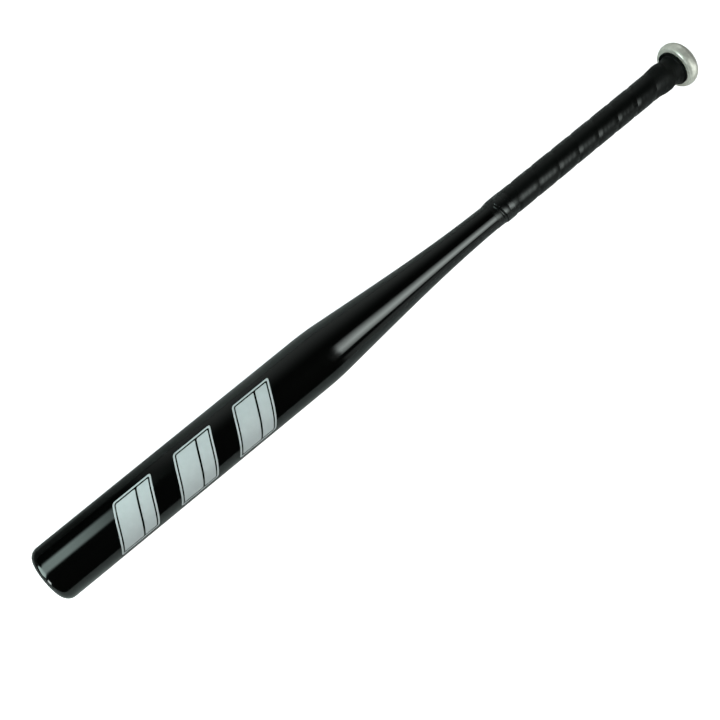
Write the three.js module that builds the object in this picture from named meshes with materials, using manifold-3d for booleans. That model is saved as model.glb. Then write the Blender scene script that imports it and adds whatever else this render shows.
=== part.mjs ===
// A one-piece aluminium baseball bat lying on its barrel, in millimetres, +Z up.
// The bat lies along X: barrel end at -X, knob at +X. Every piece is round about that axis, so it is
// drawn as a lathe profile whose stations are distances from the barrel's end face.
import * as THREE from 'three';
import { mergeVertices } from 'three/addons/utils/BufferGeometryUtils.js';
import Module from 'manifold-3d';

// Driving dimensions
const LENGTH = 813; // 32 in, end face to knob face
const BARREL_RADIUS = 28.5; // 2 1/4 in barrel
const BARREL_STRAIGHT = 323; // the barrel is a cylinder up to this station
const HANDLE_RADIUS = 13.3;
const SHOULDER_SLOPE = 0.09; // radius lost per millimetre just past the shoulder
const TAPER_END = 578; // the taper has become the straight handle here
const TAPER_ENTRY = 122; // how far each end of the taper pulls on its curve
const TAPER_EXIT = 92;
const BARREL_WALL = 1.8;
const HANDLE_WALL = 2.4;
const SIDES = 32; // flats around every round piece, one of them facing straight down
const GAP = 0.25; // left between pieces that touch

// Barrel end: the tube's rim is rolled inward over a plug
const RIM_RADIUS = 9.5;
const CAP_SKIRT_END = 24;
const CAP_WALL = 3;
const FOAM_LENGTH = 42;

// Knob end: tube, weld and cast knob
const TUBE_END = 775.5;
const WELD_ROOT = 3.4;
const WELD_WIDTH = 8.5;
const WELD_HEIGHT = 1.1;
const SPIGOT_LENGTH = 22;
const KNOB_RADIUS = 24.5;
const KNOB_RIM = 9; // radius of the knob's round edge
const KNOB_RIM_START = -42; // where the edge leaves the knob's inner face, in degrees
const NECK_END = 788;
const NECK_FLARE_RADIUS = 17.8;
const VENT_RADIUS = 3;
const VENT_HEAD_RADIUS = 5.2;
const VENT_HEAD_DEPTH = 1.6;
const VENT_STEM_LENGTH = 9;

// Grip: one strip wound in a spiral, with a collar of square turns on the knob's neck
const GRIP_START = 552.4;
const GRIP_COLLAR = 770;
const GRIP_END = 798;
const GRIP_PITCH = 27.1;
const GRIP_FIRST_SIDE = 20; // the strip's thin tip lies this many sides round from the top
const GRIP_THICKNESS = 0.8;
const SEAM = 0.3;
const STRIP_TIP = 2; // width of the strip where its cut end tapers out
const COLLAR_OVERLAP = 1.2;

// Finishing tape over the end of the grip
const TAPE_START = 541.8;
const TAPE_END = 564.9;
const TAPE_THICKNESS = 0.4;

const wasm = await Module();
wasm.setup();

// Profiles are lists of [radius, station]. Flats, not corners, lie at the stated radius.
const flatScale = 1 / Math.cos(Math.PI / SIDES);
const firstCorner = Math.PI / SIDES;

function lathe(profile) {
  const points = profile.map(([radius, station]) => new THREE.Vector2(radius * flatScale, station));
  return new THREE.LatheGeometry(points, SIDES, firstCorner);
}

function ring(profile) {
  return lathe([...profile, profile[0]]);
}

// Points on an arc in the profile plane; angles in degrees, 0 along +radius and 90 along +station
function arc(radius, station, bend, from, to, steps) {
  const points = [];
  for (let i = 0; i <= steps; i += 1) {
    const angle = THREE.MathUtils.degToRad(from + ((to - from) * i) / steps);
    points.push([radius + bend * Math.cos(angle), station + bend * Math.sin(angle)]);
  }
  return points;
}

const taper = new THREE.CubicBezierCurve(
  new THREE.Vector2(BARREL_RADIUS, BARREL_STRAIGHT),
  new THREE.Vector2(BARREL_RADIUS - SHOULDER_SLOPE * TAPER_ENTRY, BARREL_STRAIGHT + TAPER_ENTRY),
  new THREE.Vector2(HANDLE_RADIUS, TAPER_END - TAPER_EXIT),
  new THREE.Vector2(HANDLE_RADIUS, TAPER_END),
);
const TAPER_STEPS = 14;

function taperProfile(innerSide) {
  return taper.getPoints(TAPER_STEPS).map((point, i) => {
    const wall = THREE.MathUtils.lerp(BARREL_WALL, HANDLE_WALL, i / TAPER_STEPS);
    return [point.x - (innerSide ? wall : 0), point.y];
  });
}

function taperRadiusAt(station) {
  const profile = taperProfile(false);
  const next = profile.findIndex((point) => point[1] > station);
  const [fromRadius, from] = profile[next - 1];
  const [toRadius, to] = profile[next];
  return THREE.MathUtils.mapLinear(station, from, to, fromRadius, toRadius);
}

// Barrel, taper and handle are one drawn tube, open at both ends
function barrelTube() {
  const lipRadius = BARREL_RADIUS - RIM_RADIUS;
  const rimSteps = 6;
  const outside = [
    ...arc(lipRadius, RIM_RADIUS, RIM_RADIUS, -90, 0, rimSteps),
    ...taperProfile(false),
    [HANDLE_RADIUS, TUBE_END],
  ];
  const inside = [
    ...arc(lipRadius, RIM_RADIUS, RIM_RADIUS - BARREL_WALL, -90, 0, rimSteps),
    ...taperProfile(true),
    [HANDLE_RADIUS - HANDLE_WALL, TUBE_END],
  ];
  return ring([...outside, ...inside.reverse()]);
}

// A moulded plug: flat face flush with the rolled rim, shoulder under the rim, skirt along the wall
function endCap() {
  const rimClear = RIM_RADIUS - BARREL_WALL - GAP;
  const centre = BARREL_RADIUS - RIM_RADIUS;
  const face = centre - GAP;
  const skirt = centre + rimClear;
  const edge = 0.5;
  return lathe([
    [0, 0],
    [face - edge, 0],
    [face, edge],
    [face, BARREL_WALL + GAP],
    ...arc(centre, RIM_RADIUS, rimClear, -90, 0, 6),
    [skirt, CAP_SKIRT_END],
    [skirt - CAP_WALL, CAP_SKIRT_END],
    [skirt - CAP_WALL, RIM_RADIUS + 1],
    [face - CAP_WALL, BARREL_WALL + CAP_WALL],
    [0, BARREL_WALL + CAP_WALL],
  ]);
}

function foamPlug() {
  const radius = BARREL_RADIUS - BARREL_WALL - GAP;
  const start = CAP_SKIRT_END + GAP;
  return lathe([
    [0, start],
    [radius, start],
    [radius, start + FOAM_LENGTH],
    [0, start + FOAM_LENGTH],
  ]);
}

// Outside of the knob's neck: straight, then a hollow curve out to the knob's inner face
const neckFlare = new THREE.QuadraticBezierCurve(
  new THREE.Vector2(HANDLE_RADIUS, NECK_END),
  new THREE.Vector2(HANDLE_RADIUS + 0.6, GRIP_END - 2.4),
  new THREE.Vector2(NECK_FLARE_RADIUS, GRIP_END),
);

function knob() {
  const spigot = HANDLE_RADIUS - HANDLE_WALL - GAP;
  const neckStart = TUBE_END + WELD_ROOT;
  const rimRing = KNOB_RADIUS - KNOB_RIM;
  const rimStation = LENGTH - KNOB_RIM;
  return ring([
    [VENT_RADIUS, TUBE_END - SPIGOT_LENGTH],
    [spigot - 1, TUBE_END - SPIGOT_LENGTH],
    [spigot, TUBE_END - SPIGOT_LENGTH + 1],
    [spigot, neckStart],
    [HANDLE_RADIUS, neckStart],
    ...neckFlare.getPoints(6).map((point) => [point.x, point.y]),
    ...arc(rimRing, rimStation, KNOB_RIM, KNOB_RIM_START, 90, 12),
    [VENT_HEAD_RADIUS + GAP, LENGTH],
    [VENT_HEAD_RADIUS + GAP, LENGTH - VENT_HEAD_DEPTH],
    [VENT_RADIUS, LENGTH - VENT_HEAD_DEPTH],
  ]);
}

// Fills the groove between tube and neck, and stands proud of both
function weldBead() {
  const root = HANDLE_RADIUS - HANDLE_WALL;
  const crown = HANDLE_RADIUS + GAP;
  const low = TUBE_END + GAP;
  const high = TUBE_END + WELD_ROOT - GAP;
  const middle = (low + high) / 2;
  const crownPoints = [];
  const steps = 6;
  for (let i = 0; i <= steps; i += 1) {
    const across = (2 * i) / steps - 1;
    const height = 0.25 + (WELD_HEIGHT - 0.25) * (1 - across * across);
    crownPoints.push([crown + height, middle + (across * WELD_WIDTH) / 2]);
  }
  return ring([
    [root, low],
    [crown, low],
    [crown, middle - WELD_WIDTH / 2],
    ...crownPoints,
    [crown, middle + WELD_WIDTH / 2],
    [crown, high],
    [root, high],
  ]);
}

// A rubber plug in the knob's vent hole, its head sunk in a counterbore
function ventPlug() {
  const seat = LENGTH - VENT_HEAD_DEPTH + GAP;
  const stem = VENT_RADIUS - GAP;
  return lathe([
    [0, seat - VENT_STEM_LENGTH],
    [stem - 0.6, seat - VENT_STEM_LENGTH],
    [stem, seat - VENT_STEM_LENGTH + 0.8],
    [stem, seat],
    [VENT_HEAD_RADIUS, seat],
    [VENT_HEAD_RADIUS, LENGTH - 0.4],
    [VENT_HEAD_RADIUS - 0.4, LENGTH - 0.1],
    [0, LENGTH - 0.1],
  ]);
}

// The spiral part of the grip: a flat strip laid against the handle, its cut ends tapering out.
// Seen from above with the knob to the right, its edges lean to the right.
function gripStrip() {
  const inner = (HANDLE_RADIUS + GAP) * flatScale;
  const outer = inner + GRIP_THICKNESS * flatScale;
  const last = GRIP_COLLAR + COLLAR_OVERLAP;
  const turns = (last - GRIP_START) / GRIP_PITCH + 1;
  const tipSteps = Math.ceil((STRIP_TIP / GRIP_PITCH) * SIDES);
  const steps = Math.floor(turns * SIDES) - tipSteps;
  const positions = [];
  const indices = [];
  for (let i = tipSteps; i <= steps; i += 1) {
    const angle = firstCorner + ((GRIP_FIRST_SIDE - i) * 2 * Math.PI) / SIDES;
    const front = GRIP_START + (GRIP_PITCH * i) / SIDES;
    const low = Math.max(front - GRIP_PITCH + SEAM, GRIP_START);
    const high = Math.min(front, last);
    for (const [radius, station] of [[inner, low], [outer, low], [outer, high], [inner, high]]) {
      positions.push(radius * Math.sin(angle), station, radius * Math.cos(angle));
    }
  }
  const sections = positions.length / 12;
  for (let s = 0; s + 1 < sections; s += 1) {
    for (let k = 0; k < 4; k += 1) {
      const a = 4 * s + k;
      const b = 4 * s + ((k + 1) % 4);
      indices.push(a, b, a + 4, b, b + 4, a + 4);
    }
  }
  const end = 4 * (sections - 1);
  indices.push(0, 2, 1, 0, 3, 2);
  indices.push(end, end + 1, end + 2, end, end + 2, end + 3);
  const geometry = new THREE.BufferGeometry();
  geometry.setAttribute('position', new THREE.Float32BufferAttribute(positions, 3));
  geometry.setIndex(indices);
  return geometry;
}

// The square turns at the knob: over the weld, then up the flare of the neck
function gripCollar() {
  const inner = HANDLE_RADIUS + GAP;
  const weldMiddle = TUBE_END + WELD_ROOT / 2;
  const overWeld = inner + WELD_HEIGHT + GAP;
  const flare = neckFlare.getPoints(6).map((point) => [point.x + GAP, point.y - GAP]);
  const line = [
    [inner, GRIP_COLLAR],
    [overWeld, weldMiddle - 4],
    [overWeld, weldMiddle + 4],
    [inner + 0.5, NECK_END - 3],
    ...flare,
  ];
  const outside = line.map(([radius, station]) => [radius + GRIP_THICKNESS, station]);
  return ring([...outside, ...line.reverse()]);
}

function solidOf(geometry) {
  const bare = geometry.index ? geometry.clone() : geometry;
  bare.deleteAttribute('normal');
  bare.deleteAttribute('uv');
  const merged = mergeVertices(bare, 1e-4);
  return new wasm.Manifold(new wasm.Mesh({
    numProp: 3,
    vertProperties: new Float32Array(merged.attributes.position.array),
    triVerts: new Uint32Array(merged.index.array),
  }));
}

function geometryOf(solid) {
  const mesh = solid.getMesh();
  const geometry = new THREE.BufferGeometry();
  geometry.setAttribute('position', new THREE.BufferAttribute(mesh.vertProperties, 3));
  geometry.setIndex(new THREE.BufferAttribute(mesh.triVerts, 1));
  return geometry;
}

function gripWrap() {
  return geometryOf(solidOf(gripStrip()).add(solidOf(gripCollar())));
}

// Over the bare handle first, where the taper is just ending, then up over the end of the grip
function finishingTape() {
  const step = GRIP_START - GAP;
  const onTaper = taperRadiusAt(TAPE_START) + GAP;
  const onHandle = taperRadiusAt(step) + GAP;
  const onGrip = HANDLE_RADIUS + GAP + GRIP_THICKNESS + GAP;
  return ring([
    [onTaper, TAPE_START],
    [onTaper + TAPE_THICKNESS, TAPE_START],
    [onHandle + TAPE_THICKNESS, step - TAPE_THICKNESS],
    [onGrip + TAPE_THICKNESS, step],
    [onGrip + TAPE_THICKNESS, TAPE_END],
    [onGrip, TAPE_END],
    [onGrip, step],
    [onHandle, step],
  ]);
}

function material(color, roughness, metalness) {
  return new THREE.MeshStandardMaterial({ color, roughness, metalness });
}

const blackPaint = material(0x0b0d0c, 0.12, 0.0);
const castAluminium = material(0xb4b8ae, 0.3, 1.0);
const weldMetal = material(0x9a9c98, 0.45, 1.0);
const capRubber = material(0x151515, 0.55, 0.0);
const plugRubber = material(0x1c1c1c, 0.6, 0.0);
const foam = material(0xd8cfae, 0.95, 0.0);
const gripLeatherette = material(0x1a1b1a, 0.5, 0.0);
const tapeVinyl = material(0x141514, 0.3, 0.0);

const bat = new THREE.Group();

function addPiece(name, geometry, pieceMaterial) {
  const mesh = new THREE.Mesh(geometry, pieceMaterial);
  mesh.name = name;
  bat.add(mesh);
}

addPiece('barrel_tube', barrelTube(), blackPaint);
addPiece('end_cap', endCap(), capRubber);
addPiece('foam_plug', foamPlug(), foam);
addPiece('knob', knob(), castAluminium);
addPiece('weld_bead', weldBead(), weldMetal);
addPiece('vent_plug', ventPlug(), plugRubber);
addPiece('grip_wrap', gripWrap(), gripLeatherette);
addPiece('finishing_tape', finishingTape(), tapeVinyl);

// Lay the lathe axis along +X, the middle of the bat over the origin, the barrel's lowest flat at Z = 0
bat.rotation.z = -Math.PI / 2;
bat.position.set(-LENGTH / 2, 0, BARREL_RADIUS);

const group = new THREE.Group();
group.add(bat);

export default group;
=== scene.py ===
"""A one-piece aluminium baseball bat: black painted tube, end plug, cast knob, spiral grip and tape.

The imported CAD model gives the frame, and every piece is drawn about its axis, in millimetres: a station
is the distance from the barrel's end face, and an angle is measured from straight up, towards -Y.
"""

import math

import bmesh
import bpy
from mathutils import Matrix, Vector, noise


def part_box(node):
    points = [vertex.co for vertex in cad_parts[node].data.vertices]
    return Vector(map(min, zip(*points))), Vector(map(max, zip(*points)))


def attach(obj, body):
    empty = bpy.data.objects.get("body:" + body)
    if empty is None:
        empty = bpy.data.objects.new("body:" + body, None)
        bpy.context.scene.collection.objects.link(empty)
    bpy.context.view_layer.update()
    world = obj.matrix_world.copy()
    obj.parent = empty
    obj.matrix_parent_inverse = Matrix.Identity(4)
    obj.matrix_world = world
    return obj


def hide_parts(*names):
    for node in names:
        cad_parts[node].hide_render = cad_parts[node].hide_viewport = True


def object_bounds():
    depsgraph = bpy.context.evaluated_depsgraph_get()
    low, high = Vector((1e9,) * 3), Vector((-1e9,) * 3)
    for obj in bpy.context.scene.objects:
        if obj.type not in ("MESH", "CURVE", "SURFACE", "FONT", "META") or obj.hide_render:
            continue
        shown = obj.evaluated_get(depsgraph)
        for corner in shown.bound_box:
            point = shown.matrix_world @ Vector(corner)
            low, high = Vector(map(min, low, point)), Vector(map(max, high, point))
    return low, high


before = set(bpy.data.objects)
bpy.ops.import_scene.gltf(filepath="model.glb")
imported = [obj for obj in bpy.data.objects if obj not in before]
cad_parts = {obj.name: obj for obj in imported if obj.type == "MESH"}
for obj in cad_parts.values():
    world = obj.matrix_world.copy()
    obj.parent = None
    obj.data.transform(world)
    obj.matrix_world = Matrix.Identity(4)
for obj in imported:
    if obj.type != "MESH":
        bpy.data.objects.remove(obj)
cad_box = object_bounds()

MM = 0.001
SIDES = 160  # flats round each turned piece
CLEAR = 0.06  # left between a piece and the one it is wound on, mm
GAP = CLEAR * 3  # left between pieces that are pushed into each other

# Places and outer sizes that the CAD nodes give
tube_low, tube_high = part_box("barrel_tube")
AXIS_Y = (tube_low.y + tube_high.y) / 2
AXIS_Z = (tube_low.z + tube_high.z) / 2


def extent(node):
    """First station, last station and radius of a CAD node, in millimetres."""
    low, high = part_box(node)
    return (low.x - tube_low.x) / MM, (high.x - tube_low.x) / MM, (high.z - low.z) / 2 / MM


TUBE_END, BARREL_RADIUS = extent("barrel_tube")[1:]
SPIGOT_START, LENGTH, KNOB_RADIUS = extent("knob")
SKIRT_END = extent("end_cap")[1]
FOAM_START, FOAM_END, FOAM_RADIUS = extent("foam_plug")
WELD_START, WELD_END, WELD_RADIUS = extent("weld_bead")
VENT_START, VENT_FACE, VENT_HEAD = extent("vent_plug")
TAPE_START, TAPE_END = extent("finishing_tape")[:2]
GRIP_START = extent("grip_wrap")[0]

# Tube
BARREL_STRAIGHT = 323  # the barrel's straight part ends here, in a shoulder
SHOULDER_SLOPE = 0.09
SHOULDER_SOFT = 14  # the shoulder's bend is spread over this much on each side
TAPER_END = 578
TAPER_ENTRY = 122  # how far the taper holds its first slope
TAPER_EXIT = 92  # and its last one, level with the handle
HANDLE_RADIUS = 13.3
BARREL_WALL = 1.8
HANDLE_WALL = 2.4
RIM = 9.5  # the barrel's end is rolled in with this radius

# Knob
KNOB_RIM = 9
RIM_START = -42  # where the round rim leaves the knob's flat inner face, degrees
RIM_STATION = LENGTH - KNOB_RIM
INNER_FACE = RIM_STATION + KNOB_RIM * math.sin(math.radians(RIM_START))
NECK_HOLLOW = 5
VENT_BORE = 3
VENT_SINK = 1.6

# Grip strip
PITCH = 27.1
EDGE_AT_TOP = 573.9  # a station where the strip's exposed edge crosses the top of the handle
STRIP = 0.95  # thickness
FLOOR = 0.35  # height of the strip just past the exposed edge of the turn before it
RECOVER = 5  # the strip is back at full height this far past that edge
BEVEL = 5.5  # and starts to thin down this far before its own exposed edge
LAP = 3.2
COLLAR = 765  # the strip is laid on square turns from here to the knob
PAST_WELD = 780  # and comes down off the weld from here
GRIP_OUTER = 18.6  # radius of the strip's last edge, on the knob's inner face
END_ROLL = 0.7  # that edge is doubled over by this much
CUT_BACK = 0.85  # the strip's first end is cut out of square, on average this much before the CAD's cut
CUT_LEAN = 3  # and runs this far out of square each way
OFF_HANDLE = 0.25  # the tape and the grip's first turns stand this far off, above the taper's end

# Finishing tape
TAPE_SECOND = 548  # a second layer starts here
TAPE_RING = 559  # and a narrower one ends here
FILM = 0.2

# Printed mark: three leaning blocks. Heights are distances round the barrel from its top, towards -Y.
MARK_FIRST = 64.4  # the lower left corner of the first block
MARK_STEP = 68.5  # from one block to the next
MARK_WIDTH = 43
MARK_LEAN = 24  # how much further along the bat a block's top is than its bottom
MARK_TOP = -15.9
MARK_BOTTOM = 34.3
MARK_LINE = 1.7  # width of the outline
MARK_GAP = 1.4  # between the outline and the bars
LEAN_WIDER = 1.1  # a leaning line of the same width measures this much more along the bat
WIDE_SHARE = 0.62  # the wide bar's share of the block
INK = 0.03  # thickness
INK_LIFT = 0.03

# Lights
LAMP_COLOUR = (0.9, 1, 0.96)
BARREL_LAMP_COLOUR = (0.85, 1.08, 1.02)
HANDLE_PANEL_START = 706  # first station of the panels over the handle


def place(station, radius, angle):
    """The point in the frame, in metres, at a station, radius and angle in radians."""
    return Vector((
        tube_low.x + station * MM,
        AXIS_Y - radius * MM * math.sin(angle),
        AXIS_Z + radius * MM * math.cos(angle),
    ))


def arc(station, radius, bend, start, end, steps):
    """(station, radius) points on an arc; angles in degrees, 0 along +radius and 90 along +station."""
    points = []
    for i in range(steps + 1):
        angle = math.radians(start + (end - start) * i / steps)
        points.append((station + bend * math.sin(angle), radius + bend * math.cos(angle)))
    return points


def between(value, first, last):
    """0 before first, 1 after last, and an even change in between."""
    return min(max((value - first) / (last - first), 0), 1)


def ease(value):
    """0 below 0, 1 above 1, and a smooth rise in between."""
    value = min(max(value, 0), 1)
    return value * value * (3 - 2 * value)


def wander(*place_in_noise):
    """A smooth repeatable variation between about -1 and 1."""
    return noise.noise(Vector(place_in_noise))


def mix(first, last, share):
    """The point that is that share of the way from first to last."""
    return tuple(a + (b - a) * share for a, b in zip(first, last))


def bezier(controls, steps):
    """Points on the Bezier curve with these control points."""
    points = []
    for i in range(steps + 1):
        line = controls
        while len(line) > 1:
            line = [mix(a, b, i / steps) for a, b in zip(line, line[1:])]
        points.append(line[0])
    return points


# Meshes

def lathe(profile, closed=True, shape=None, sides=SIDES):
    """Turns a (station, radius) profile about the axis. A closed one is a ring's section.
    An open one starts and ends on the axis. shape moves a point by what it says for its angle."""
    vertices, rings = [], []
    for station, radius in profile:
        first = len(vertices)
        if radius == 0:
            vertices.append(place(station, 0, 0))
            rings.append([first] * sides)
            continue
        for k in range(sides):
            angle = 2 * math.pi * k / sides
            moved = shape(station, radius, angle) if shape else (station, radius)
            vertices.append(place(*moved, angle))
        rings.append(list(range(first, first + sides)))
    following = rings[1:] + rings[:1] if closed else rings[1:]
    faces = []
    for near, far in zip(rings, following):
        for k in range(sides):
            n = (k + 1) % sides
            corners = dict.fromkeys((near[k], near[n], far[n], far[k]))
            if len(corners) > 2:
                faces.append(tuple(corners))
    return vertices, faces


def make_piece(name, shape, material, slot, *nodes, sharp=40):
    """Makes a piece from (vertices, faces). It rides on the bat's one body and stands for CAD nodes.
    Edges bent by more than sharp degrees are shaded sharp."""
    mesh = bpy.data.meshes.new(name)
    mesh.from_pydata(shape[0], [], shape[1])
    solid = bmesh.new()
    solid.from_mesh(mesh)
    bmesh.ops.remove_doubles(solid, verts=solid.verts, dist=1e-7)
    bmesh.ops.recalc_face_normals(solid, faces=solid.faces)
    solid.to_mesh(mesh)
    solid.free()
    mesh.shade_smooth()
    mesh.set_sharp_from_angle(angle=math.radians(sharp))
    mesh.materials.append(material)
    piece = bpy.data.objects.new(name, mesh)
    bpy.context.scene.collection.objects.link(piece)
    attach(piece, "root")
    if nodes:
        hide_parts(*nodes)
    return piece


# Materials

EVEN = (1, 1, 1)


def plain_material(name, colour, roughness, metallic=0.0):
    """A principled material and its shader node. Where a pattern takes over a value given here, as
    vary() does, the value given is about its middle."""
    made = bpy.data.materials.new(name)
    made.use_nodes = True
    shader = made.node_tree.nodes["Principled BSDF"]
    shader.inputs["Base Color"].default_value = (*colour, 1)
    shader.inputs["Roughness"].default_value = roughness
    shader.inputs["Metallic"].default_value = metallic
    return made, shader


def noise_output(tree, size, detail, stretch=EVEN):
    """A noise texture whose features measure about size millimetres, stretched along each axis."""
    where = tree.nodes.new("ShaderNodeTexCoord")
    scaled = tree.nodes.new("ShaderNodeMapping")
    scaled.inputs["Scale"].default_value = [1 / s for s in stretch]
    texture = tree.nodes.new("ShaderNodeTexNoise")
    texture.inputs["Scale"].default_value = 1 / (size * MM)
    texture.inputs["Detail"].default_value = detail
    tree.links.new(where.outputs["Object"], scaled.inputs["Vector"])
    tree.links.new(scaled.outputs["Vector"], texture.inputs["Vector"])
    return texture.outputs["Fac"]


def position(tree, axis):
    """Where a point lies along an axis of its object, in metres."""
    where = tree.nodes.new("ShaderNodeTexCoord")
    split = tree.nodes.new("ShaderNodeSeparateXYZ")
    tree.links.new(where.outputs["Object"], split.inputs["Vector"])
    return split.outputs[axis]


def mapped(tree, value, source=(0, 1), result=(0, 1)):
    """A value carried over evenly from its source range to the result range, and held inside that."""
    change = tree.nodes.new("ShaderNodeMapRange")
    for side, end in (("Min", 0), ("Max", 1)):
        change.inputs["From " + side].default_value = source[end]
        change.inputs["To " + side].default_value = result[end]
    tree.links.new(value, change.inputs["Value"])
    return change.outputs["Result"]


def along(tree, stations, values):
    """A value that changes evenly between two stations, from the first of two values to the second."""
    ends = [place(station, 0, 0).x for station in stations]
    return mapped(tree, position(tree, "X"), ends, values)


def combined(tree, operation, first, second):
    """Two values multiplied, or whatever the operation is."""
    node = tree.nodes.new("ShaderNodeMath")
    node.operation = operation
    tree.links.new(first, node.inputs[0])
    tree.links.new(second, node.inputs[1])
    return node.outputs["Value"]


def add_bumps(made, shader, layers):
    """Bumps the shader with layers of (size, depth in millimetres, detail, stretch), coarse ones first."""
    nodes, links = made.node_tree.nodes, made.node_tree.links
    before = None
    for size, depth, detail, stretch in layers:
        bump = nodes.new("ShaderNodeBump")
        bump.inputs["Distance"].default_value = depth * MM
        links.new(noise_output(made.node_tree, size, detail, stretch), bump.inputs["Height"])
        if before:
            links.new(before.outputs["Normal"], bump.inputs["Normal"])
        before = bump
    links.new(before.outputs["Normal"], shader.inputs["Normal"])


def vary(made, shader, socket, low, high, size):
    """Lets a socket, a number or a colour, vary between low and high in patches of about size mm."""
    nodes, links = made.node_tree.nodes, made.node_tree.links
    ramp = nodes.new("ShaderNodeValToRGB")
    stops = ramp.color_ramp.elements
    for stop, value in zip(stops, (low, high)):
        stop.color = (*value, 1) if isinstance(value, tuple) else (value, value, value, 1)
    stops[0].position = 0.35
    stops[1].position = 0.65
    links.new(noise_output(made.node_tree, size, detail=3), ramp.inputs["Fac"])
    links.new(ramp.outputs["Color"], shader.inputs[socket])


def gloss_paint():
    made, shader = plain_material("gloss_paint", (0.001, 0.0011, 0.001), 0.1)
    vary(made, shader, "Roughness", 0.085, 0.12, size=14)
    add_bumps(made, shader, [(9, 0.008, 1, EVEN), (2.6, 0.003, 2, EVEN)])
    return made


def silver_ink():
    made, shader = plain_material("silver_ink", (0.55, 0.56, 0.58), 0.42)
    vary(made, shader, "Base Color", (0.535, 0.545, 0.565), (0.565, 0.575, 0.595), size=6)
    add_bumps(made, shader, [(2.6, 0.004, 2, EVEN), (0.4, 0.003, 1, EVEN)])
    return made


def cast_metal():
    made, shader = plain_material("cast_metal", (0.87, 0.83, 0.75), 0.37, metallic=0.66)
    vary(made, shader, "Base Color", (0.80, 0.76, 0.685), (0.94, 0.89, 0.815), size=4)
    vary(made, shader, "Roughness", 0.32, 0.42, size=3)
    add_bumps(made, shader, [(5, 0.06, 1, EVEN), (1.4, 0.022, 3, EVEN)])
    return made


def leatherette():
    """Slightly shiny on the handle, dull where it is stretched over the weld and neck, and bare cloth
    at its last edge, against the knob."""
    made, shader = plain_material("leatherette", (0.002, 0.0022, 0.002), 0.3)
    tree = made.node_tree
    stretched = (COLLAR - 10, COLLAR + 6)
    last_edge = (INNER_FACE - 2, INNER_FACE - 0.9)
    sheen = along(tree, stretched, (0.3, 0.2))
    shine = combined(tree, "MULTIPLY", sheen, along(tree, last_edge, (1, 0.1)))
    tree.links.new(shine, shader.inputs["Specular IOR Level"])
    tree.links.new(along(tree, stretched, (0.29, 0.55)), shader.inputs["Roughness"])
    add_bumps(made, shader, [(5, 0.05, 2, EVEN), (0.8, 0.02, 3, EVEN)])
    return made


def vinyl():
    made, shader = plain_material("vinyl", (0.002, 0.0022, 0.002), 0.24)
    vary(made, shader, "Roughness", 0.22, 0.28, size=5)
    add_bumps(made, shader, [(4, 0.03, 2, (0.4, 1, 1)), (0.7, 0.006, 2, EVEN)])
    return made


def rubber(name, colour):
    made, shader = plain_material(name, colour, 0.55)
    vary(made, shader, "Roughness", 0.48, 0.65, size=4)
    add_bumps(made, shader, [(3, 0.02, 1, EVEN), (0.35, 0.012, 2, EVEN)])
    return made


def foam():
    made, shader = plain_material("foam", (0.68, 0.6, 0.4), 0.95)
    vary(made, shader, "Base Color", (0.6, 0.52, 0.33), (0.74, 0.66, 0.47), size=3)
    add_bumps(made, shader, [(2, 0.3, 3, EVEN), (0.5, 0.15, 2, EVEN)])
    return made


def weld_metal():
    made, shader = plain_material("weld_metal", (0.6, 0.6, 0.58), 0.45, metallic=1.0)
    vary(made, shader, "Roughness", 0.35, 0.6, size=2)
    add_bumps(made, shader, [(1.5, 0.05, 2, EVEN)])
    return made


# Tube

def tube_outside():
    """The painted outside, from the rolled rim to the sawn end at the knob."""
    taper = bezier([
        (BARREL_STRAIGHT, BARREL_RADIUS),
        (BARREL_STRAIGHT + TAPER_ENTRY, BARREL_RADIUS - SHOULDER_SLOPE * TAPER_ENTRY),
        (TAPER_END - TAPER_EXIT, HANDLE_RADIUS),
        (TAPER_END, HANDLE_RADIUS),
    ], steps=72)
    past_shoulder = [point for point in taper if point[0] > BARREL_STRAIGHT + SHOULDER_SOFT]
    shoulder = bezier([
        (BARREL_STRAIGHT - SHOULDER_SOFT, BARREL_RADIUS),
        (BARREL_STRAIGHT, BARREL_RADIUS),
        past_shoulder[0],
    ], steps=14)
    rim = arc(RIM, BARREL_RADIUS - RIM, RIM, -90, 0, steps=28)
    return rim + shoulder + past_shoulder[1:] + [(TUBE_END, HANDLE_RADIUS)]


def tube_shell():
    """The tube, with a wall that thickens along the taper."""
    outside = tube_outside()
    inside = []
    for station, radius in outside:
        tapered = ease((station - BARREL_STRAIGHT) / (TAPER_END - BARREL_STRAIGHT))
        thicker = (HANDLE_WALL - BARREL_WALL) * tapered
        if station > RIM:
            inside.append((station, radius - BARREL_WALL - thicker))
    rim = arc(RIM, BARREL_RADIUS - RIM, RIM - BARREL_WALL, -90, 0, steps=14)
    return lathe(outside + (rim + inside)[::-1])


# End plug, foam, vent stopper and weld

def end_plug():
    """A moulded plug: a flat face with a gate mark and two moulding rings, a shoulder and a skirt."""
    lip = BARREL_RADIUS - RIM
    face = lip - GAP
    face_edge = 0.7
    shoulder = RIM - BARREL_WALL - GAP
    skirt = lip + shoulder
    wall = 3
    gate_depth, gate_radius = 0.35, 1.1
    ring_depth, ring_width = 0.3, 0.45
    outline = [(gate_depth, 0), (gate_depth, gate_radius), (0.0, gate_radius + 0.4)]
    for middle in (9.5, 14.5):
        outline += [(0, middle - ring_width), (ring_depth, middle - ring_width / 2)]
        outline += [(ring_depth, middle + ring_width / 2), (0, middle + ring_width)]
    outline += arc(face_edge, face - face_edge, face_edge, -90, 0, steps=6)
    outline += [(BARREL_WALL + GAP, face)]
    outline += arc(RIM, lip, shoulder, -90, 0, steps=14)
    outline += [(SKIRT_END - 0.5, skirt), (SKIRT_END, skirt - 0.5), (SKIRT_END, skirt - wall)]
    outline += [(RIM + 1, skirt - wall), (BARREL_WALL + wall, face - wall), (BARREL_WALL + wall, 0)]
    return lathe(outline, closed=False)


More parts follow.
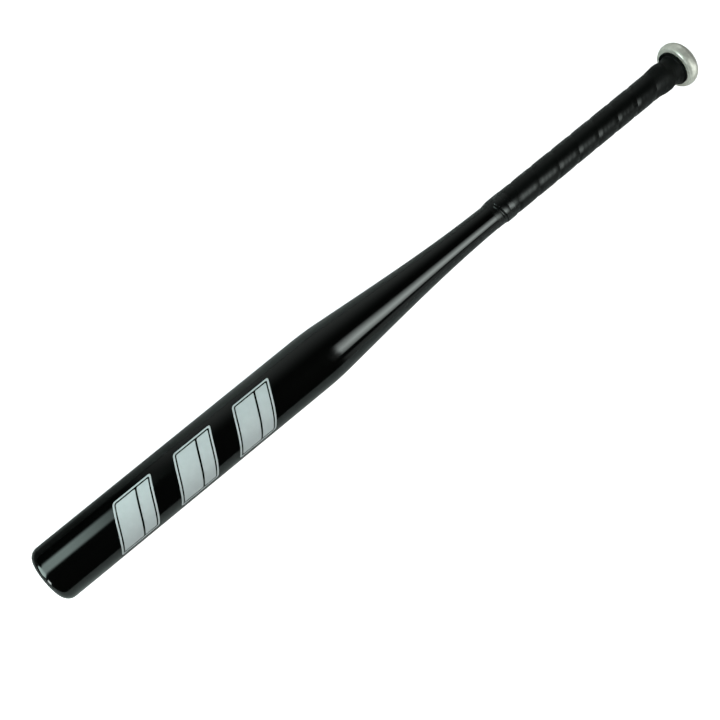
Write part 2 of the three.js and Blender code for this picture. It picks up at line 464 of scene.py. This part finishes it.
def foam_disc():
    """The foam behind the plug, with knife-cut ends and soft uneven edges."""
    edge = 1.2
    unevenness, patch = 0.12, 6

    def uneven(station, radius, angle):
        rough = wander(station / patch, 3 * math.cos(angle), 3 * math.sin(angle))
        return station, radius + unevenness * (rough - 1)

    length = FOAM_END - FOAM_START
    outline = [(FOAM_START, 0), (FOAM_START, FOAM_RADIUS / 2)]
    outline += arc(FOAM_START + edge, FOAM_RADIUS - edge, edge, -90, 0, steps=5)
    outline += [(FOAM_START + length * i / 8, FOAM_RADIUS) for i in range(1, 8)]
    outline += arc(FOAM_END - edge, FOAM_RADIUS - edge, edge, 0, 90, steps=5)
    outline += [(FOAM_END, FOAM_RADIUS / 2), (FOAM_END, 0)]
    return lathe(outline, closed=False, shape=uneven, sides=96)


def vent_stopper():
    """A rubber stopper: a low domed head in the counterbore and a barbed stem in the vent."""
    seat = LENGTH - VENT_SINK + CLEAR
    stem = VENT_BORE - CLEAR * 2
    waist = stem - 0.35
    barb_end = VENT_START + 3.2
    edge = 0.6
    dome = 1.6
    outline = [(VENT_START, 0), (VENT_START, stem - 0.7), (VENT_START + 1.2, stem)]
    outline += [(barb_end, stem), (barb_end + 0.2, waist), (seat - 0.6, waist)]
    outline += [(seat, stem), (seat, VENT_HEAD - 0.1)]
    outline += arc(VENT_FACE - edge, VENT_HEAD - edge, edge, 0, 75, steps=6)
    outline += [(VENT_FACE - 0.02, VENT_HEAD - dome), (VENT_FACE, 0)]
    return lathe(outline, closed=False, sides=96)


def weld_ripples():
    """The bead between tube and knob, with the ripples of a weld laid pool after pool."""
    root = HANDLE_RADIUS - HANDLE_WALL + CLEAR
    gap_low = TUBE_END + GAP
    gap_high = WELD_START + WELD_END - gap_low
    foot = HANDLE_RADIUS + CLEAR
    pools = 40
    pool_bow, pool_depth = 0.8, 0.2
    strips = 12

    def rippled(station, radius, angle):
        if radius <= foot:
            return station, radius
        across = 2 * (station - WELD_START) / (WELD_END - WELD_START) - 1
        pool = (angle / (2 * math.pi) * pools + pool_bow * across * across) % 1
        return station, radius - pool_depth * pool * (radius - foot)

    crown = []
    for i in range(1, strips):
        across = 2 * i / strips - 1
        height = (WELD_RADIUS - foot) * (1 - across * across)
        crown.append((WELD_START + (WELD_END - WELD_START) * i / strips, foot + height))
    outline = [(gap_low, root), (gap_low, foot), (WELD_START, foot), *crown]
    outline += [(WELD_END, foot), (gap_high, foot), (gap_high, root)]
    return lathe(outline, shape=rippled, sides=320)


# Knob

def hollow(neck, bend, clearance):
    """The hollow curve from a straight neck of that radius out to the knob's flat inner face."""
    face = INNER_FACE - clearance
    return arc(face - bend, neck + bend, bend, 180, 90, steps=12)


def knob_casting():
    """Spigot in the handle, neck, hollow, round rim and a flat face with the vent's counterbore."""
    spigot = HANDLE_RADIUS - HANDLE_WALL - GAP
    neck_start = WELD_START + WELD_END - TUBE_END
    counterbore = VENT_HEAD + GAP
    sink = LENGTH - VENT_SINK
    edge = 0.4
    outline = [(SPIGOT_START, VENT_BORE), (SPIGOT_START, spigot - 1), (SPIGOT_START + 1, spigot)]
    outline += [(neck_start, spigot), (neck_start, HANDLE_RADIUS)]
    outline += hollow(HANDLE_RADIUS, NECK_HOLLOW, clearance=0)
    outline += arc(RIM_STATION, KNOB_RADIUS - KNOB_RIM, KNOB_RIM, RIM_START, 90, steps=56)
    outline += arc(LENGTH - edge, counterbore + edge, edge, 90, 180, steps=5)
    outline += [(sink, counterbore), (sink, VENT_BORE)]
    return lathe(outline)


# Grip

def bed_radius(station):
    """Radius of what the strip is wound on: the tube, then square turns over the weld and the neck."""
    over_weld, off_weld = 1.42, 1.1
    even = 610  # the first turns come down to the handle from here on
    tapering = OFF_HANDLE * (1 - ease((station - even) / 50))
    weld = over_weld * ease((station - COLLAR) / 14)
    past_weld = off_weld * ease((station - PAST_WELD) / 9)
    return HANDLE_RADIUS + CLEAR + tapering + weld - past_weld


def grip_bed():
    """The (station, radius) line that the strip is wound on, from its cut end to the knob's face."""
    last = hollow(bed_radius(LENGTH), bend=3, clearance=CLEAR)
    last.append((INNER_FACE - CLEAR, GRIP_OUTER))
    start = cut_end(-math.pi / 2)
    steps = 480
    line = []
    for i in range(steps):
        station = start + (last[0][0] - start) * i / steps
        line.append((station, bed_radius(station)))
    return line + last


class Bed:
    """Measures a distance along the line the strip is wound on, and a height square to it."""

    def __init__(self, line):
        self.line = line
        self.along = [line[0][0]]
        for (u0, r0), (u1, r1) in zip(line, line[1:]):
            self.along.append(self.along[-1] + math.hypot(u1 - u0, r1 - r0))

    def at(self, distance, height):
        """(station, radius) at a distance along the line and a height above it."""
        low, high = 0, len(self.line) - 2
        while low < high:
            middle = (low + high + 1) // 2
            if self.along[middle] <= distance:
                low = middle
            else:
                high = middle - 1
        (u0, r0), (u1, r1) = self.line[low], self.line[low + 1]
        length = self.along[low + 1] - self.along[low]
        share = (distance - self.along[low]) / length
        du, dr = (u1 - u0) / length, (r1 - r0) / length
        return u0 + (u1 - u0) * share - dr * height, r0 + (r1 - r0) * share + du * height


def groove_floor(distance):
    """Height of the strip next to its neighbour's edge: a step on the handle, almost none on the collar."""
    step_on_collar = 0.12
    return FLOOR + (STRIP - FLOOR - step_on_collar) * ease((distance - COLLAR + 3) / 10)


def strip_section(edge):
    """(distance, height) points over the top and the bottom of the strip's section. edge is where its
    exposed edge lies."""
    start = edge - PITCH
    floor = groove_floor(start)
    next_floor = groove_floor(edge)
    lip = next_floor + 0.14
    top = [(start - LAP, 0.2), (start - LAP / 2, 0.7 * floor), (start, floor - 0.03)]
    for i in range(1, 7):
        share = i / 6
        rise = (STRIP - floor) * math.sin(share * math.pi / 2)
        top.append((start + RECOVER * share, floor + rise))
    flat = PITCH - RECOVER - BEVEL
    top += [(start + RECOVER + flat * i / 22, STRIP) for i in range(1, 23)]
    bevel_cut = 0.8  # the bevel still slopes this far through its curve, where the edge is
    for i in range(1, 9):
        share = i / 8
        fall = (STRIP - lip) * ease(share * bevel_cut) / ease(bevel_cut)
        top.append((edge - BEVEL * (1 - share), STRIP - fall))
    bottom = [(edge, lip - 0.12), (edge - LAP / 2, 0.7 * next_floor + 0.03)]
    bottom += [(edge - LAP, 0.25), (edge - LAP - 0.3, 0.02)]
    bottom += [(start + 2 * LAP, 0), (start, 0), (start - LAP, 0)]
    return top, bottom


def cut_lean(angle):
    """How far the cut of the strip's first end, and the tape pressed over it, run out of square."""
    return CUT_LEAN * math.sin(angle)


def cut_end(angle):
    """Station where the strip's first end is cut."""
    return GRIP_START - CUT_BACK + cut_lean(angle)


def fold(distance, angle):
    """Slight unevenness of the wound strip, in millimetres. Folds lean along it and deepen on the
    collar, which also bulges on its near side."""
    collar_face = 788  # the folds are pressed flat from here on, towards the knob's face
    on_collar = ease((distance - COLLAR + 2) / 10) * (1 - ease((distance - collar_face) / 6))
    lean = distance + PITCH * angle / (2 * math.pi)
    y, z = 13 * math.sin(angle), 13 * math.cos(angle)
    fine_size, fine_length = 2.2, 9
    broad_size, broad_length = 7, 12
    fine = wander(lean / fine_size, z / fine_length, y / fine_length)
    broad = wander(lean / broad_size, z / broad_length + 5, y / broad_length)
    fine_depth, broad_depth = 0.06 + 0.17 * on_collar, 0.05
    bulge = 0.25 * on_collar * math.sin(angle)
    return broad_depth * broad + fine_depth * fine + bulge


def clipped(line, low, high):
    """A line of (distance, height) points with the points past low or high drawn in to its cuts there."""
    ordered = sorted(line)

    def height_at(cut):
        for (d0, h0), (d1, h1) in zip(ordered, ordered[1:]):
            if d0 <= cut < d1:
                return h0 + (h1 - h0) * (cut - d0) / (d1 - d0)
        return ordered[0][1] if cut < ordered[0][0] else ordered[-1][1]

    at_low, at_high = (low, height_at(low)), (high, height_at(high))
    return [at_low if point[0] < low else at_high if point[0] > high else point for point in line]


def strip_ring(turn, angle, last):
    """(distance, height) points round the strip at a turn, uneven and cut off at both ends of the grip.
    last is the distance to the knob's end of the bed."""
    drift = 0.7 * wander(turn * 0.6, 2.5, 0) + 0.15 * wander(turn * 9, 7.5, 0)
    edge = EDGE_AT_TOP + PITCH * turn + drift
    top, bottom = strip_section(edge)
    outside = []
    for distance, height in top:
        inset = min(distance - (edge - PITCH), edge - distance)
        uneven = fold(distance, angle) * ease((inset - 0.4) / 2)
        rolled = END_ROLL * ease((distance - last + 2) / 1.4)
        outside.append((distance, height + uneven + rolled))
    cut = cut_end(angle)
    return clipped(outside, cut, last) + clipped(bottom, cut, last)


def grip_strip():
    """The strip, swept along its spiral as one closed solid that laps over itself."""
    bed = Bed(grip_bed())
    last = bed.along[-1]
    per_turn = 120
    tip = 1.5  # how much of the strip's width is left at its very ends
    start_angle = 2 * math.pi * (EDGE_AT_TOP - GRIP_START) / PITCH
    first = cut_end(start_angle)
    start_turn = (first + tip - EDGE_AT_TOP) / PITCH
    end_turn = (last + PITCH + LAP - tip - EDGE_AT_TOP) / PITCH
    steps = int((end_turn - start_turn) * per_turn)
    vertices, faces = [], []
    for i in range(steps + 1):
        turn = start_turn + i / per_turn
        angle = -2 * math.pi * turn
        ring = strip_ring(turn, angle, last)
        vertices += [place(*bed.at(distance, height), angle) for distance, height in ring]
    count = len(vertices) // (steps + 1)
    for i in range(steps):
        for k in range(count):
            a, b = i * count + k, i * count + (k + 1) % count
            faces.append((a, b, b + count, a + count))
    faces.append(tuple(range(count)))
    faces.append(tuple(range(steps * count, (steps + 1) * count)))
    return vertices, faces


# Finishing tape

def tape_wrap():
    """Vinyl tape: staggered layers on the end of the taper, a crease at the foot of the grip's cut end,
    and a ring of layers on the grip. On the far side the tape is drawn tight over the crease."""
    on_handle = HANDLE_RADIUS + OFF_HANDLE + CLEAR
    on_grip = on_handle + STRIP + CLEAR
    foot = GRIP_START - CUT_BACK - 1
    outside = [
        (TAPE_START, on_handle + FILM),
        (TAPE_SECOND - 0.7, on_handle + 1.2 * FILM),
        (TAPE_SECOND - 0.3, on_handle + 0.8 * FILM),
        (TAPE_SECOND, on_handle + 2 * FILM),
        (foot - 0.75, on_handle + 3.2 * FILM),
        (foot - 0.15, on_handle + 0.5 * FILM),
        (foot + 0.15, on_handle + 0.5 * FILM),
        (foot + 0.65, on_grip + 1.3 * FILM),
        (foot + 1.8, on_grip + 1.5 * FILM),
        (TAPE_RING - 0.5, on_grip + 1.6 * FILM),
        (TAPE_RING, on_grip + 0.9 * FILM),
        (TAPE_RING + 0.5, on_grip + 1.4 * FILM),
        (TAPE_END - 0.05, on_grip + FILM),
    ]
    inside = [
        (TAPE_END, on_grip),
        (foot + 0.9, on_grip),
        (foot + 0.6, on_handle),
        (TAPE_START, on_handle),
    ]
    tent_end = foot + 0.7

    def uneven(station, radius, angle):
        near_foot = math.exp(-(((station - foot) / 5) ** 2))
        lean = cut_lean(angle) * near_foot
        sway = 0.25 * wander(station / 9, math.cos(angle), math.sin(angle))
        outer = radius > on_handle + 0.01 and TAPE_START < station < TAPE_END
        if outer and station < tent_end:
            tented = ease((-math.sin(angle) - 0.3) / 0.5)
            ramp = on_handle + FILM + (on_grip - on_handle) * between(station, TAPE_START, tent_end)
            radius += (ramp - radius) * tented
        return station + lean + sway * outer, radius

    return lathe(outside + inside, shape=uneven)


# Printed mark: three leaning blocks, each a wide bar and a narrow one inside an outline

def leaning(left, right, inset):
    """Corners of a bar that leans with the mark, inset from its top and bottom, as (station, distance
    round the barrel) points."""
    top, bottom = MARK_TOP + inset, MARK_BOTTOM - inset

    def shift(distance):
        return MARK_LEAN * (MARK_BOTTOM - distance) / (MARK_BOTTOM - MARK_TOP)

    return [
        (left + shift(bottom), bottom),
        (right + shift(bottom), bottom),
        (right + shift(top), top),
        (left + shift(top), top),
    ]


def rounded(corners, radius):
    """The outline with its corners rounded off."""
    outline = []
    for i, corner in enumerate(corners):
        here = Vector(corner)
        before = (Vector(corners[i - 1]) - here).normalized() * radius
        after = (Vector(corners[(i + 1) % len(corners)]) - here).normalized() * radius
        outline += bezier([tuple(here + before), tuple(here), tuple(here + after)], steps=6)
    return outline


def ink_film(outlines):
    """A thin film on the barrel: flat outlines, the first outside and the rest holes, rolled round it."""
    flat = bmesh.new()
    for outline in outlines:
        corners = [flat.verts.new((*point, 0)) for point in outline]
        for a, b in zip(corners, corners[1:] + corners[:1]):
            flat.edges.new((a, b))
    bmesh.ops.triangle_fill(flat, use_beauty=True, edges=flat.edges[:])
    row = MARK_TOP
    while row < MARK_BOTTOM:
        everything = flat.verts[:] + flat.edges[:] + flat.faces[:]
        bmesh.ops.bisect_plane(flat, geom=everything, plane_co=(0, row, 0), plane_no=(0, 1, 0))
        row += 1
    extruded = bmesh.ops.extrude_face_region(flat, geom=flat.faces[:], use_keep_orig=True)
    for item in extruded["geom"]:
        if isinstance(item, bmesh.types.BMVert):
            item.co.z = INK
    flat.verts.index_update()
    vertices = []
    for vertex in flat.verts:
        station, distance, height = vertex.co
        vertices.append(place(station, BARREL_RADIUS + INK_LIFT + height, distance / BARREL_RADIUS))
    faces = [[vertex.index for vertex in face.verts] for face in flat.faces]
    flat.free()
    return vertices, faces


def block_films(left):
    """The outlines of one block's three films, by name. left is the station of its lower left corner."""
    right = left + MARK_WIDTH
    inset = MARK_LINE + MARK_GAP
    inner_left, inner_right = left + inset * LEAN_WIDER, right - inset * LEAN_WIDER
    middle = inner_left + (inner_right - inner_left) * WIDE_SHARE
    whole = leaning(left, right, 0)
    opening = leaning(left + MARK_LINE * LEAN_WIDER, right - MARK_LINE * LEAN_WIDER, MARK_LINE)
    wide = leaning(inner_left, middle - 1, inset)
    narrow = leaning(middle + 1, inner_right, inset)
    return {
        "outline": [rounded(whole, 3), rounded(opening, 2)],
        "wide_bar": [rounded(wide, 1.4)],
        "narrow_bar": [rounded(narrow, 1.4)],
    }


def print_mark(ink):
    """The three blocks, each with its outline and two bars."""
    for block in range(3):
        for part, outlines in block_films(MARK_FIRST + MARK_STEP * block).items():
            make_piece(f"mark_{block + 1}_{part}", ink_film(outlines), ink, "silver_print")


# Stage

def add_camera():
    """Looks down on the bat, turned so that it runs from lower left to upper right."""
    tilt = math.radians(9.26)
    turn = math.radians(39.489)
    centre = (cad_box[0] + cad_box[1]) / 2
    spot = centre + Vector((-0.2123, -0.0270, 0.9512))
    camera = bpy.data.objects.new("camera", bpy.data.cameras.new("camera"))
    camera.data.lens = 50
    camera.data.sensor_width = 36
    tilted = Matrix.Rotation(-tilt, 4, "Y") @ Matrix.Rotation(-turn, 4, "Z")
    camera.matrix_world = Matrix.Translation(spot) @ tilted
    bpy.context.scene.collection.objects.link(camera)
    bpy.context.scene.camera = camera


def softbox(name, spot, aim, size, radiance, glossy=True):
    """A rectangular light of a given width, height and brightness. Its width lies level. One that is
    not glossy has no reflection."""
    width, height = size
    light = bpy.data.lights.new(name, "AREA")
    light.shape = "RECTANGLE"
    light.size = width
    light.size_y = height
    light.energy = radiance * math.pi * width * height
    light.color = LAMP_COLOUR
    lamp = bpy.data.objects.new(name, light)
    lamp.location = spot
    away = Vector(spot) - Vector(aim)
    lamp.rotation_mode = "QUATERNION"
    lamp.rotation_quaternion = away.to_track_quat("Z", "Y")
    lamp.visible_camera = False
    lamp.visible_glossy = glossy
    bpy.context.scene.collection.objects.link(lamp)


def glow_panel(name, reach, stations, sides, brightness, colour=LAMP_COLOUR, clear=False):
    """A light panel curved round the bat's axis, reach millimetres away from it, between two stations
    and two angles in degrees. brightness says how bright it is at a station and an angle. A clear one
    lets the light of the panels behind it through."""
    count = 60
    vertices, faces, glow = [], [], []
    for i in range(count + 1):
        side = sides[0] + (sides[1] - sides[0]) * i / count
        for k in range(count + 1):
            station = stations[0] + (stations[1] - stations[0]) * k / count
            vertices.append(place(station, reach, math.radians(side)))
            glow.append(brightness(station, side))
    for i in range(count):
        for k in range(count):
            corner = i * (count + 1) + k
            faces.append((corner, corner + 1, corner + count + 2, corner + count + 1))
    mesh = bpy.data.meshes.new(name)
    mesh.from_pydata(vertices, [], faces)
    mesh.attributes.new("glow", "FLOAT", "POINT").data.foreach_set("value", glow)
    panel = bpy.data.objects.new(name, mesh)
    panel.visible_camera = False
    panel.visible_shadow = False
    bpy.context.scene.collection.objects.link(panel)
    mesh.materials.append(glow_material(name, colour, clear))
    return panel


def glow_material(name, colour, clear):
    """A shader that shines as strongly as the mesh's glow attribute says, see-through if clear."""
    made = bpy.data.materials.new(name)
    made.use_nodes = True
    nodes, links = made.node_tree.nodes, made.node_tree.links
    nodes.remove(nodes["Principled BSDF"])
    shine = nodes.new("ShaderNodeEmission")
    shine.inputs["Color"].default_value = (*colour, 1)
    strength = nodes.new("ShaderNodeAttribute")
    strength.attribute_name = "glow"
    links.new(strength.outputs["Fac"], shine.inputs["Strength"])
    surface = shine
    if clear:
        surface = nodes.new("ShaderNodeAddShader")
        see_through = nodes.new("ShaderNodeBsdfTransparent")
        links.new(shine.outputs["Emission"], surface.inputs[0])
        links.new(see_through.outputs["BSDF"], surface.inputs[1])
    links.new(surface.outputs[0], nodes["Material Output"].inputs["Surface"])
    return made


def light_link(panel, piece, link):
    """Makes a panel light only that piece, with INCLUDE, or all the others, with EXCLUDE."""
    receivers = bpy.data.collections.new(panel.name + "_receivers")
    receivers.objects.link(piece)
    receivers.collection_objects[0].light_linking.link_state = link
    panel.light_linking.receiver_collection = receivers


def add_floor():
    """A pale floor that the bat lies on, white to the camera. Its colour is painted darker beyond the
    barrel end on the far side, a painted shadow of the bat, so it throws less light back on the bat from
    there."""
    half = 4  # of its width, in metres
    level = cad_box[0].z
    corners = [(-half, -half, level), (half, -half, level), (half, half, level), (-half, half, level)]
    mesh = bpy.data.meshes.new("floor")
    mesh.from_pydata(corners, [], [(0, 1, 2, 3)])
    floor = bpy.data.objects.new("floor", mesh)
    bpy.context.scene.collection.objects.link(floor)
    made, shader = plain_material("floor", (1, 1, 1), 0.9)
    shader.inputs["Specular IOR Level"].default_value = 0.0
    shader.inputs["Emission Color"].default_value = (1, 1, 1, 1)
    tree = made.node_tree
    path = tree.nodes.new("ShaderNodeLightPath")
    tree.links.new(path.outputs["Is Camera Ray"], shader.inputs["Emission Strength"])
    # painted shadow: the floor's colour is darker past the barrel end on the far side, standing in for the
    # bat's shadow
    past_painted_shadow_along = mapped(tree, position(tree, "X"), source=(-0.38, -0.16))
    past_painted_shadow_near = mapped(tree, position(tree, "Y"), source=(0.1, 0.0))
    outside_painted_shadow = combined(tree, "MAXIMUM", past_painted_shadow_along, past_painted_shadow_near)
    tree.links.new(mapped(tree, outside_painted_shadow, result=(0.05, 0.5)), shader.inputs["Base Color"])
    mesh.materials.append(made)


def add_world():
    """White behind the object, and a dark room in its reflections."""
    world = bpy.data.worlds.new("studio")
    bpy.context.scene.world = world
    world.use_nodes = True
    tree = world.node_tree
    background = tree.nodes["Background"]
    background.inputs["Color"].default_value = (1, 1, 1, 1)
    path = tree.nodes.new("ShaderNodeLightPath")
    strength = mapped(tree, path.outputs["Is Camera Ray"], result=(0.01, 1.0))
    tree.links.new(strength, background.inputs["Strength"])


def handle_light(station, side):
    """Brightest along its middle, which swings outwards along the bat, and fading out past the knob."""
    inner, middle, outer = 1, 32, 53
    side -= 17 * between(station, 810, 1440) ** 0.65
    across = min(between(side, inner, middle), 1 - 0.72 * between(side, middle, outer)) * (side < outer)
    return 7.8 * across * (1 - 0.985 * between(station, 985, 1310))


def knob_light(station, side):
    """What the knob gets in place of the handle's light: overhead a small glow, and from the handle's
    panel on the same light but dimmer, with a glow from the near side, the far side and past the knob."""
    if station < HANDLE_PANEL_START:
        return 0.42 * (1 - between(abs(side), 12, 30)) * (1 - between(station, 0, 400))
    near = 0.9 * between(side, 40, 60)
    far = 0.14 * between(-side, 40, 60)
    past_knob = 0.38 * between(station, 1400, 1700)
    return 0.3 * handle_light(station, side) + near + far + past_knob


def barrel_light(station, side):
    """Brightening past the barrel end, and widening down to the horizon far beyond it."""
    past_end = -station
    inner, outer = 10, 43 + 45 * between(past_end, 1000, 1700)
    across = ease((-side - inner) / 12) * (1 - ease((-side - outer) / 14))
    return 4.1 * across * between(past_end, 0, 200) * (1 + 0.8 * between(past_end, 800, 1600))


def far_light(station, side):
    """A dim wall on the far side, fading towards the barrel end and overhead."""
    return (0.03 + 0.4 * ease((-side - 20) / 65)) * ease((station + 160) / 360)


def near_light(station, side):
    """An even glow low down on the near side."""
    return 0.45


def add_lights(knob):
    """The panels and softboxes. The handle's panel would dazzle on the bare knob, which has its own."""
    start, past_knob = HANDLE_PANEL_START, 2400
    handle_panel = glow_panel("handle_light", 1200, (start, 1440), (1, 66), handle_light)
    knob_panel = glow_panel("knob_light", 1190, (-600, past_knob), (-91, 91), knob_light, clear=True)
    light_link(handle_panel, knob, "EXCLUDE")
    light_link(knob_panel, knob, "INCLUDE")
    glow_panel("near_light", 1300, (start, past_knob), (70, 91), near_light)
    glow_panel("barrel_light", 1200, (-6000, 0), (-88, -8), barrel_light, BARREL_LAMP_COLOUR)
    glow_panel("far_light", 1400, (-160, past_knob), (-91, -20), far_light)
    softbox("end_spot", (-2.14, -0.31, 0.46), aim=(-0.4, 0, 0.03), size=(0.36, 0.6), radiance=11)
    softbox("fill", (-0.25, -1.2, 1.8), aim=(0, 0, 0), size=(2.5, 2.5), radiance=1.0, glossy=False)


scene = bpy.context.scene
scene.view_settings.view_transform = "Standard"

add_camera()
add_floor()
add_world()

paint, ink = gloss_paint(), silver_ink()
plug_rubber = rubber("plug_rubber", (0.018, 0.018, 0.018))
make_piece("painted_tube", tube_shell(), paint, "black_paint", "barrel_tube")
make_piece("barrel_plug", end_plug(), plug_rubber, "cap_rubber", "end_cap")
make_piece("foam_disc", foam_disc(), foam(), "foam", "foam_plug")
knob = make_piece("knob_casting", knob_casting(), cast_metal(), "cast_aluminium", "knob")
make_piece("weld_ripples", weld_ripples(), weld_metal(), "weld_metal", "weld_bead")
stopper_rubber = rubber("stopper_rubber", (0.02, 0.02, 0.021))
make_piece("vent_stopper", vent_stopper(), stopper_rubber, "plug_rubber", "vent_plug")
make_piece("grip_strip", grip_strip(), leatherette(), "grip_leatherette", "grip_wrap", sharp=50)
make_piece("vinyl_tape", tape_wrap(), vinyl(), "tape_vinyl", "finishing_tape", sharp=50)
print_mark(ink)
add_lights(knob)
